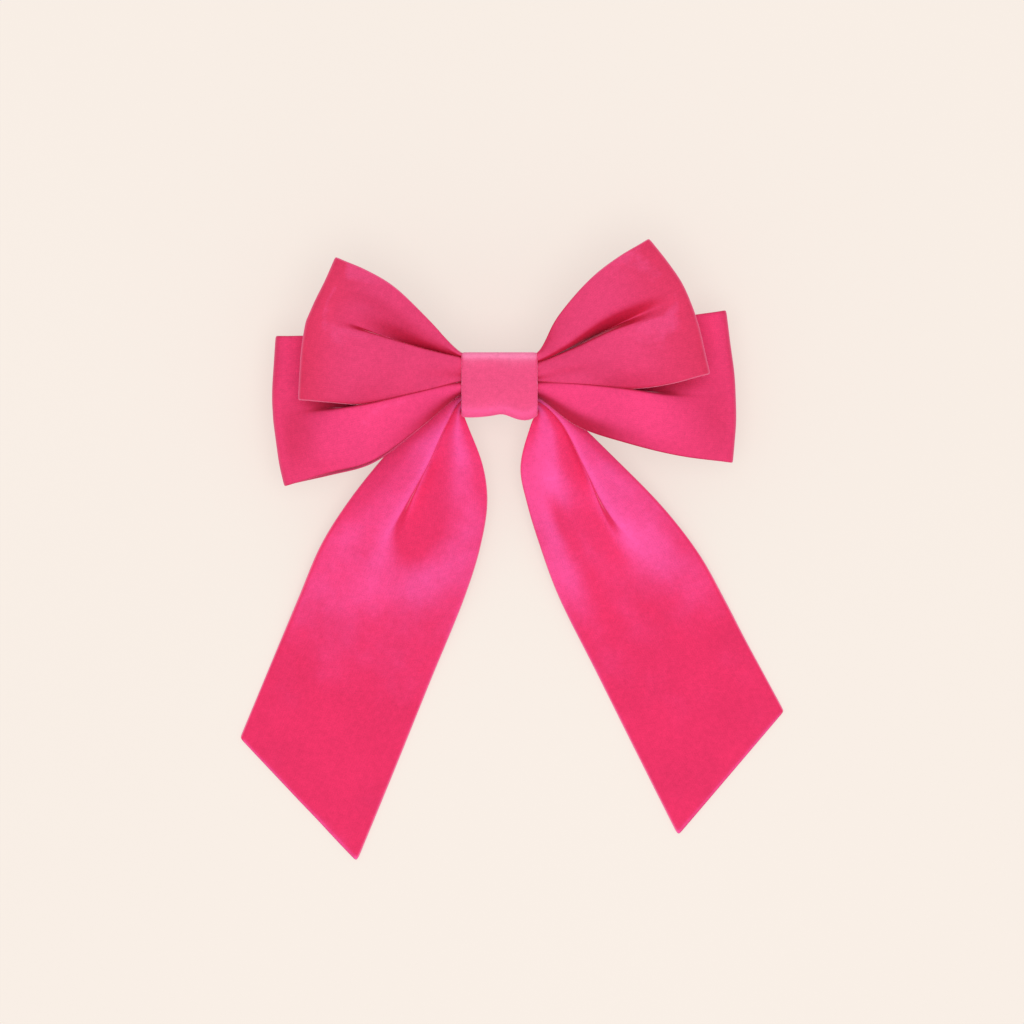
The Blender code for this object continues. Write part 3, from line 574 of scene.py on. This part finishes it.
def make_knot():
    """Band of ribbon round the gathered middle."""
    low_edge = spline([Vector(point) for point in KNOT_LOW_EDGE], KNOT_LOW_EDGE_STEPS)
    rings = []
    for index in range(KNOT_COLUMNS + 1):
        x = mix(-KNOT_HALF, KNOT_HALF, index / KNOT_COLUMNS)
        bottom = min(low_edge, key=lambda point: abs(point.x - x)).y
        rings.append(spline(knot_ring(x, bottom), KNOT_RING_STEPS, closed=True))
    rows = list(zip(*reversed(rings)))
    return grid_object("knot_band", rows, True, (knot_velvet, ribbon_back), thickness=KNOT_THICKNESS)


def tube(name, paths, radius, material):
    """Thread along one or more closed paths."""
    curve = bpy.data.curves.new(name, "CURVE")
    curve.dimensions = "3D"
    curve.bevel_depth = radius * MM
    curve.bevel_resolution = TUBE_RESOLUTION
    for path in paths:
        line = curve.splines.new("POLY")
        line.points.add(len(path) - 1)
        line.use_cyclic_u = True
        for point, spot in zip(line.points, path):
            point.co = (*place(spot), 1.0)
    curve.materials.append(material)
    piece = bpy.data.objects.new(name, curve)
    bpy.context.scene.collection.objects.link(piece)
    return piece


def oval_path(half_y, low, high, radius, x):
    """Closed path round an oval that stands across X."""
    corners = ((half_y, high - radius), (half_y - radius, high), (radius - half_y, high),
               (-half_y, high - radius), (-half_y, low + radius), (radius - half_y, low),
               (half_y - radius, low), (half_y, low + radius))
    return spline([Vector((x, y, z)) for y, z in corners], OVAL_STEPS, closed=True)


def make_winding():
    """Turns of the gather thread, side by side under the knot."""
    turns = [oval_path(*WINDING_OVAL, x) for x in WINDING_PLACES]
    return tube("gather_winding", turns, WINDING_RADIUS, thread_look)


def plate_top(x):
    """Height of the base plate's upper face."""
    radius = (PLATE_HALF ** 2 + PLATE_RISE ** 2) / (2.0 * PLATE_RISE)
    inside = min(abs(x), PLATE_HALF)
    fall = radius - math.sqrt(radius ** 2 - inside ** 2)
    return PLATE_LEVEL + PLATE_RISE - fall + PLATE_THICKNESS


def make_felt():
    """Strip of felt that lies along the base plate."""
    rows = []
    for index in range(FELT_ROWS + 1):
        x = mix(-FELT_HALF, FELT_HALF, index / FELT_ROWS)
        share = 1.0 - max(0.0, (abs(x) - FELT_STRAIGHT) / FELT_END) ** 2 * FELT_NARROWING
        rows.append([Vector((x, y * share, plate_top(x) + FELT_LIFT)) for y in FELT_COLUMNS])
    return grid_object("felt_pad", rows, False, (felt_look,), thickness=FELT_THICKNESS, levels=FELT_LEVELS)


def make_stitch(name, x):
    """Twisted thread round the base plate and the felt."""
    level = plate_top(x)
    path = oval_path(STITCH_HALF, level - STITCH_BELOW, level + STITCH_ABOVE, STITCH_CORNER, x)
    count = len(path)
    side = Vector((1.0, 0.0, 0.0))
    plies = []
    for ply in range(STITCH_PLIES):
        line = []
        for index, spot in enumerate(path):
            way = (path[(index + 1) % count] - path[index - 1]).normalized()
            out = way.cross(side)
            turn = math.tau * (index * STITCH_TWISTS / count + ply / STITCH_PLIES)
            line.append(spot + (side * math.cos(turn) + out * math.sin(turn)) * PLY_OFFSET)
        plies.append(line)
    return tube(name, plies, PLY_RADIUS, thread_look)


# Materials

def node_material(name):
    material = bpy.data.materials.new(name)
    material.use_nodes = True
    nodes = material.node_tree.nodes
    return material, nodes, material.node_tree.links, nodes["Principled BSDF"]


def add_node(nodes, kind, **settings):
    node = nodes.new(kind)
    for key, value in settings.items():
        setattr(node, key, value)
    return node


def mix_colour(nodes, links, share, first, second):
    """Mix node for colours; share, first and second are sockets or plain values."""
    node = add_node(nodes, "ShaderNodeMix", data_type="RGBA")
    for socket, value in ((node.inputs[0], share), (node.inputs[6], first), (node.inputs[7], second)):
        if hasattr(value, "is_linked"):
            links.new(value, socket)
        elif hasattr(value, "__len__"):
            socket.default_value = (*value, 1.0)
        else:
            socket.default_value = value
    return node.outputs[2]


def remap(nodes, links, value, low, high, to_low, to_high, kind="SMOOTHSTEP"):
    node = add_node(nodes, "ShaderNodeMapRange", interpolation_type=kind)
    links.new(value, node.inputs[0])
    for index, number in enumerate((low, high, to_low, to_high), 1):
        node.inputs[index].default_value = number
    return node.outputs[0]


def maths(nodes, links, operation, first, second=0.0):
    node = add_node(nodes, "ShaderNodeMath", operation=operation)
    for socket, value in zip(node.inputs, (first, second)):
        if hasattr(value, "is_linked"):
            links.new(value, socket)
        else:
            socket.default_value = value
    return node.outputs[0]


def noise(nodes, links, vector, scale, detail=3.0, rough=0.55):
    node = nodes.new("ShaderNodeTexNoise")
    node.inputs["Scale"].default_value = scale
    node.inputs["Detail"].default_value = detail
    node.inputs["Roughness"].default_value = rough
    links.new(vector, node.inputs["Vector"])
    return node.outputs["Fac"]


def spread(nodes, links, value, low, high, kind="SMOOTHSTEP"):
    """Noise remapped to run from low to high."""
    return remap(nodes, links, value, NOISE_LOW, NOISE_HIGH, low, high, kind)


def ribbon_chart(nodes, links):
    """Length along the ribbon and distance across it, in metres."""
    chart = add_node(nodes, "ShaderNodeUVMap", uv_map="ribbon")
    split = nodes.new("ShaderNodeSeparateXYZ")
    links.new(chart.outputs["UV"], split.inputs[0])
    return split.outputs[0], split.outputs[1]


def thread_waves(nodes, links, chart, pitches):
    """Waves of the threads that lie across and along the ribbon."""
    waves = []
    for distance, pitch in zip(chart, pitches):
        cycle = maths(nodes, links, "MULTIPLY", distance, math.tau / pitch)
        waves.append(maths(nodes, links, "SINE", cycle))
    return waves


def add_bump(nodes, links, shader, height, strength, distance):
    bump = nodes.new("ShaderNodeBump")
    bump.inputs["Strength"].default_value = strength
    bump.inputs["Distance"].default_value = distance
    links.new(height, bump.inputs["Height"])
    links.new(bump.outputs["Normal"], shader.inputs["Normal"])


def velvet(name, nap_and_light, deep, flat, lit, turn, rim, weave=0.25, knot_light=None, fold_shade=None):
    """Cut pile that leans one way, with light and shade painted by the cloth's tilt: deep where the cloth
    turns from that way, lit where it turns to it. Two more arguments paint light near the knot and shade
    towards the folds."""
    material, nodes, links, shader = node_material(name)
    geometry = nodes.new("ShaderNodeNewGeometry")
    position = geometry.outputs["Position"]
    chart = ribbon_chart(nodes, links)
    near_fold = add_node(nodes, "ShaderNodeAttribute", attribute_name="near_fold").outputs["Fac"]

    # Painted light and shade: the colour runs from deep through flat to lit as the cloth turns towards the
    # nap's way.
    facing = add_node(nodes, "ShaderNodeVectorMath", operation="DOT_PRODUCT")
    links.new(geometry.outputs["Normal"], facing.inputs[0])
    facing.inputs[1].default_value = nap_and_light
    stray = noise(nodes, links, position, scale=70.0, detail=5.0, rough=0.62)
    stray = spread(nodes, links, stray, -RUFFLE, RUFFLE, "LINEAR")
    nap_light_lean = maths(nodes, links, "ADD", facing.outputs["Value"], stray)
    facing_share = remap(nodes, links, nap_light_lean, nap_and_light.z - turn, nap_and_light.z, 0.0, 1.0)
    colour = mix_colour(nodes, links, facing_share, deep, flat)
    # Painted light: the ribbon is lighter near the middle of the knot and fades to its own colour further
    # along.
    if knot_light:
        middle, near, far, knot_light_colour = knot_light
        away = maths(nodes, links, "SUBTRACT", chart[0], middle)
        away = maths(nodes, links, "ABSOLUTE", away)
        knot_light_share = remap(nodes, links, away, near, far, KNOT_LIGHT_MOST, 0.0)
        colour = mix_colour(nodes, links, knot_light_share, colour, knot_light_colour)
    # Painted shade: darker towards the folds.
    if fold_shade:
        fold_shade_most, fold_shade_colour = fold_shade
        fold_shade_share = remap(nodes, links, near_fold, *FOLD_SHADE_BAND, 0.0, fold_shade_most)
        colour = mix_colour(nodes, links, fold_shade_share, colour, fold_shade_colour)
    lit_share = remap(nodes, links, nap_light_lean, nap_and_light.z, max(LIT_LEVEL, nap_and_light.z + LIT_SPAN), 0.0, 1.0)
    colour = mix_colour(nodes, links, lit_share, colour, lit)

    tufts = noise(nodes, links, position, scale=2600.0, detail=2.0, rough=0.6)
    share = spread(nodes, links, tufts, 1.0 - TUFT_CHANGE, 1.0 + TUFT_CHANGE, "LINEAR")
    for scale, detail in ((45.0, 4.0), (620.0, 3.0)):
        patches = noise(nodes, links, position, scale, detail, rough=0.6)
        patch_share = spread(nodes, links, patches, 1.0 - PATCH_CHANGE, 1.0 + PATCH_CHANGE, "LINEAR")
        share = maths(nodes, links, "MULTIPLY", share, patch_share)
    weft, warp = thread_waves(nodes, links, chart, FACE_PITCH)
    grid = maths(nodes, links, "MULTIPLY", weft, WEFT_SHARE)
    grid = maths(nodes, links, "ADD", grid, warp)
    change = WEAVE_CHANGE * weave
    weave_share = remap(nodes, links, grid, -2.0, 2.0, 1.0 - change, 1.0 + change, "LINEAR")
    share = maths(nodes, links, "MULTIPLY", share, weave_share)
    scaled = add_node(nodes, "ShaderNodeVectorMath", operation="SCALE")
    links.new(colour, scaled.inputs[0])
    links.new(share, scaled.inputs["Scale"])

    # Painted highlight along the ribbon's edges.
    edge = maths(nodes, links, "SUBTRACT", chart[1], RIBBON_WIDTH / 2.0)
    edge = maths(nodes, links, "ABSOLUTE", edge)
    rim_share = remap(nodes, links, edge, *EDGE_HIGHLIGHT_BAND, 0.0, rim)
    final = mix_colour(nodes, links, rim_share, scaled.outputs[0], EDGE_HIGHLIGHT)
    # Painted highlight on the folds.
    fold_highlight_share = remap(nodes, links, near_fold, *FOLD_HIGHLIGHT_BAND, 0.0, FOLD_HIGHLIGHT_MOST)
    final = mix_colour(nodes, links, fold_highlight_share, final, FOLD_HIGHLIGHT)
    # Painted highlight where the cloth is seen at a grazing angle.
    grazing = nodes.new("ShaderNodeLayerWeight")
    grazing.inputs["Blend"].default_value = 0.5
    grazing_highlight = remap(nodes, links, grazing.outputs["Facing"], *GRAZING_HIGHLIGHT_BAND, 0.0, GRAZING_HIGHLIGHT_MOST)
    final = mix_colour(nodes, links, grazing_highlight, final, EDGE_HIGHLIGHT)
    links.new(final, shader.inputs["Base Color"])

    links.new(spread(nodes, links, tufts, *PILE_ROUGHNESS, "LINEAR"), shader.inputs["Roughness"])
    shader.inputs["Specular IOR Level"].default_value = PILE_SPECULAR
    shader.inputs["Sheen Weight"].default_value = SHEEN_WEIGHT
    shader.inputs["Sheen Roughness"].default_value = SHEEN_ROUGHNESS
    shader.inputs["Sheen Tint"].default_value = SHEEN_TINT
    height = maths(nodes, links, "MULTIPLY", grid, WEAVE_HEIGHT * weave)
    height = maths(nodes, links, "ADD", height, tufts)
    add_bump(nodes, links, shader, height, strength=0.35, distance=0.00018)
    return material


def woven_back(name, colour):
    """Plain ground weave on the wrong side of the ribbon."""
    material, nodes, links, shader = node_material(name)
    along, across = thread_waves(nodes, links, ribbon_chart(nodes, links), BACK_PITCH)
    cross = maths(nodes, links, "MULTIPLY", along, across)
    geometry = nodes.new("ShaderNodeNewGeometry")
    patches = noise(nodes, links, geometry.outputs["Position"], scale=260.0)
    level = maths(nodes, links, "MULTIPLY", cross, BACK_WEAVE_SHARE)
    level = maths(nodes, links, "ADD", level, patches)
    dark = tuple(part * BACK_DARK for part in colour)
    tint = mix_colour(nodes, links, spread(nodes, links, level, 0.0, 1.0), dark, colour)
    links.new(tint, shader.inputs["Base Color"])
    links.new(spread(nodes, links, level, 0.55, 0.8), shader.inputs["Roughness"])
    add_bump(nodes, links, shader, cross, strength=0.4, distance=0.00012)
    return material


def metal(name, colour, rough_low, rough_high, grain):
    """Plated steel: fine drawn lines along X and slightly dull patches."""
    material, nodes, links, shader = node_material(name)
    geometry = nodes.new("ShaderNodeNewGeometry")
    stretch = add_node(nodes, "ShaderNodeVectorMath", operation="MULTIPLY")
    links.new(geometry.outputs["Position"], stretch.inputs[0])
    stretch.inputs[1].default_value = METAL_STRETCH
    lines = noise(nodes, links, stretch.outputs[0], scale=6000.0, detail=2.0)
    patches = noise(nodes, links, geometry.outputs["Position"], scale=160.0, detail=4.0)
    level = maths(nodes, links, "MULTIPLY", lines, METAL_LINE_SHARE)
    level = maths(nodes, links, "ADD", level, patches)
    dull = tuple(part * METAL_DULL for part in colour)
    dull_share = remap(nodes, links, patches, 0.35, 0.7, 0.0, 1.0)
    links.new(mix_colour(nodes, links, dull_share, colour, dull), shader.inputs["Base Color"])
    shader.inputs["Metallic"].default_value = 1.0
    links.new(remap(nodes, links, level, 0.5, 0.9, rough_low, rough_high), shader.inputs["Roughness"])
    add_bump(nodes, links, shader, lines, strength=grain, distance=0.00003)
    return material


def fibre(name, colour, pitch, rough):
    """Matt yarn or felt, with paler and darker strands."""
    material, nodes, links, shader = node_material(name)
    geometry = nodes.new("ShaderNodeNewGeometry")
    strands = noise(nodes, links, geometry.outputs["Position"], scale=1.0 / pitch, detail=4.0, rough=0.7)
    pale = tuple(min(part * YARN_PALE + YARN_LIFT, 1.0) for part in colour)
    dark = tuple(part * YARN_DARK for part in colour)
    tint = mix_colour(nodes, links, spread(nodes, links, strands, 0.0, 1.0), dark, pale)
    links.new(tint, shader.inputs["Base Color"])
    links.new(spread(nodes, links, strands, rough - 0.1, rough + 0.1), shader.inputs["Roughness"])
    shader.inputs["Sheen Weight"].default_value = 0.3
    shader.inputs["Sheen Roughness"].default_value = 0.5
    add_bump(nodes, links, shader, strands, strength=0.6, distance=0.00015)
    return material


# Painted light and shade in every velvet: its deep, flat and lit tones follow the cloth's tilt. The loops
# also get painted shade towards their folds, and the tails painted light near the knot.
front_velvet = velvet("upper_bow_velvet", UPPER_NAP_AND_LIGHT, deep=(0.56, 0.011, 0.052), flat=(0.80, 0.056, 0.180),
                      lit=(0.83, 0.066, 0.205), turn=0.44, rim=0.6, fold_shade=(0.7, (0.74, 0.036, 0.108)))
back_velvet = velvet("lower_bow_velvet", LOWER_NAP_AND_LIGHT, deep=(0.54, 0.016, 0.066), flat=(0.91, 0.058, 0.212),
                     lit=(0.98, 0.078, 0.27), turn=0.46, rim=0.12, fold_shade=(0.4, (0.80, 0.040, 0.135)))
tail_velvet = velvet("tail_velvet", TAIL_NAP_AND_LIGHT, deep=(0.77, 0.030, 0.125), flat=(0.82, 0.033, 0.132),
                     lit=(1.00, 0.108, 0.405), turn=0.62, rim=0.8,
                     knot_light=(0.160, 0.028, 0.090, (0.89, 0.052, 0.205)))
knot_velvet = velvet("knot_velvet", KNOT_NAP_AND_LIGHT, deep=(1.00, 0.115, 0.330), flat=(0.85, 0.083, 0.228),
                     lit=(1.00, 0.240, 0.46), turn=0.58, rim=0.45, weave=0.3)
ribbon_back = woven_back("ribbon_wrong_side", (0.70, 0.05, 0.15))
steel = metal("nickel_plate", (0.78, 0.77, 0.75), rough_low=0.16, rough_high=0.34, grain=0.10)
spring = metal("spring_steel", (0.62, 0.62, 0.63), rough_low=0.24, rough_high=0.42, grain=0.16)
felt_look = fibre("bow_felt", (0.72, 0.07, 0.20), pitch=0.0004, rough=0.85)
thread_look = fibre("bow_thread", (0.74, 0.09, 0.24), pitch=0.0002, rough=0.6)


# Pieces, what they replace and how the sheets are made

upper = make_bow("upper_bow", UPPER_LEFT, UPPER_RIGHT, front_velvet, UPPER_BACK, UPPER_BACK_AT_KNOT,
                 UPPER_PLEATS)
lower = make_bow("lower_bow", LOWER_LEFT, LOWER_RIGHT, back_velvet, LOWER_BACK, LOWER_BACK_AT_KNOT,
                 LOWER_PLEATS, LOWER_LEFT_INSET)
tails = make_tails()
knot = make_knot()
gather = make_winding()
felt = make_felt()
left_stitch = make_stitch("left_sewing", -STITCH_PLACE)
right_stitch = make_stitch("right_sewing", STITCH_PLACE)

for piece, node, slot_name in ((upper, "upper_bow_ribbon", "velvet_front"),
                               (lower, "lower_bow_ribbon", "velvet_back"),
                               (tails, "tail_ribbon", "velvet_tails"),
                               (knot, "knot_wrap", "velvet_knot"),
                               (gather, "gather_thread", "pink_thread"),
                               (felt, "backing_felt", "pink_felt"),
                               (left_stitch, "left_stitch", "pink_thread"),
                               (right_stitch, "right_stitch", "pink_thread")):
    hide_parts(node)
    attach(piece, "bow")

for node in ("base_plate", "clasp_arm", "hinge_pin", "catch_plate", "inner_catch_rivet", "outer_catch_rivet"):
    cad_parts[node].material_slots[0].material = steel
for node in ("tension_bar", "front_prong", "rear_prong"):
    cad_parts[node].material_slots[0].material = spring


# Stage, light and camera

def make_floor():
    """Pale table, partly lit by itself so that shadows stay faint, and clear from below."""
    material, nodes, links, shader = node_material("pale_table")
    geometry = nodes.new("ShaderNodeNewGeometry")
    patches = noise(nodes, links, geometry.outputs["Position"], scale=3.0, detail=2.0)
    tint = mix_colour(nodes, links, patches, *TABLE_COLOURS)
    links.new(tint, shader.inputs["Base Color"])
    links.new(tint, shader.inputs["Emission Color"])
    shader.inputs["Emission Strength"].default_value = TABLE_GLOW
    shader.inputs["Roughness"].default_value = 0.9
    shader.inputs["Specular IOR Level"].default_value = 0.1
    clear = nodes.new("ShaderNodeBsdfTransparent")
    choose = nodes.new("ShaderNodeMixShader")
    links.new(geometry.outputs["Backfacing"], choose.inputs[0])
    links.new(shader.outputs[0], choose.inputs[1])
    links.new(clear.outputs[0], choose.inputs[2])
    links.new(choose.outputs[0], nodes["Material Output"].inputs["Surface"])
    mesh = bpy.data.meshes.new("table")
    corners = [(x * TABLE_REACH, y * TABLE_REACH, 0.0) for x, y in ((-1, -1), (1, -1), (1, 1), (-1, 1))]
    mesh.from_pydata(corners, [], [(0, 1, 2, 3)])
    mesh.materials.append(material)
    table = bpy.data.objects.new("table", mesh)
    bpy.context.scene.collection.objects.link(table)
    table.location.z = -TABLE_DROP


def make_light():
    """Broad window light from above, aimed at the middle of the frame."""
    lamp = bpy.data.lights.new("window", "AREA")
    lamp.shape = "DISK"
    lamp.size = LIGHT_SIZE
    lamp.energy = LIGHT_POWER
    lamp.color = LIGHT_COLOUR
    holder = bpy.data.objects.new("window", lamp)
    bpy.context.scene.collection.objects.link(holder)
    holder.location = LIGHT_SPOT
    holder.rotation_mode = "QUATERNION"
    holder.rotation_quaternion = (-Vector(LIGHT_SPOT)).to_track_quat("-Z", "Y")
    holder.visible_camera = False


def make_world():
    world = bpy.data.worlds.new("studio")
    world.use_nodes = True
    background = world.node_tree.nodes["Background"]
    background.inputs[0].default_value = SKY_COLOUR
    background.inputs[1].default_value = SKY_STRENGTH
    bpy.context.scene.world = world


def make_camera():
    camera = bpy.data.cameras.new("camera")
    camera.sensor_width = SENSOR_WIDTH
    camera.lens = SENSOR_WIDTH * (CAMERA_HEIGHT - VIEW_LEVEL) / VIEW_WIDTH
    camera.clip_end = VIEW_END
    holder = bpy.data.objects.new("camera", camera)
    bpy.context.scene.collection.objects.link(holder)
    holder.location = (0.0, VIEW_CENTRE_Y, CAMERA_HEIGHT)
    bpy.context.scene.camera = holder


make_floor()
make_light()
make_world()
make_camera()
bpy.context.scene.view_settings.view_transform = "Standard"
